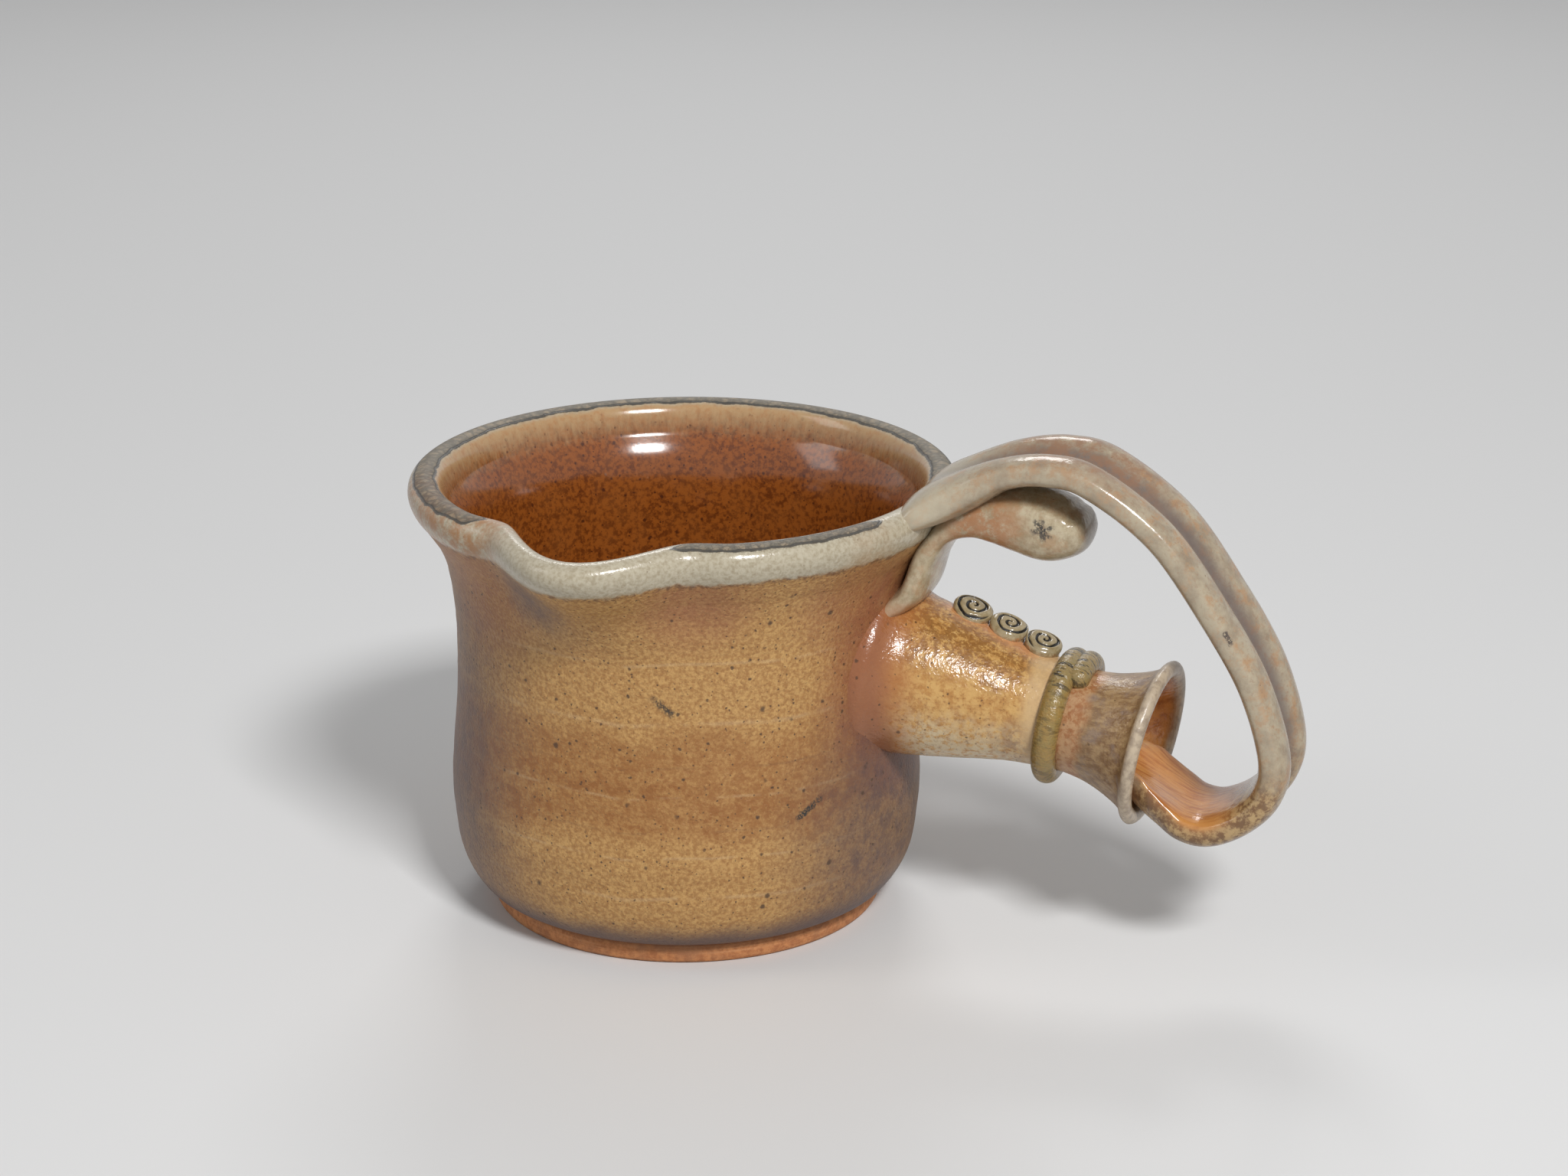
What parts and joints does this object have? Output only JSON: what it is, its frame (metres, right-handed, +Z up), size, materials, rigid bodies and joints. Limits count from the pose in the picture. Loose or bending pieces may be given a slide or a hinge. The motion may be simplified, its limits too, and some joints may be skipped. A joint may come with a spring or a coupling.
{
  "type": "sauce jug",
  "caption": "Small stoneware sauce jug with a pulled spout, a hollow side stem ending in a bell, and a strap handle that loops from the bell up to the rim.",
  "frame": {"origin": "centre of the foot ring's underside, on the jug's turning axis", "axes": "+Z up along the turning axis, +X along the handle, -Y towards the spout"},
  "size_m": [0.185, 0.1202, 0.1046],
  "materials": {
    "body_glaze": "salt glaze, orange-peel satin, glossy inside",
    "bare_clay": "unglazed, matt",
    "stem_glaze": "glossy, mottled",
    "bell_glaze": "satin, mottled",
    "collar_glaze": "glossy",
    "strap_glaze": "glossy",
    "bracket_glaze": "glossy",
    "button_glaze": "glossy"
  },
  "bodies": {
    "root": {"body": "body_glaze", "foot_ring": "bare_clay", "stem": "stem_glaze", "bell": "bell_glaze", "collar": "collar_glaze", "strap_handle": "strap_glaze", "bracket": "bracket_glaze", "button_1": "button_glaze", "button_2": "button_glaze", "button_3": "button_glaze"}
  },
  "joints": []
}
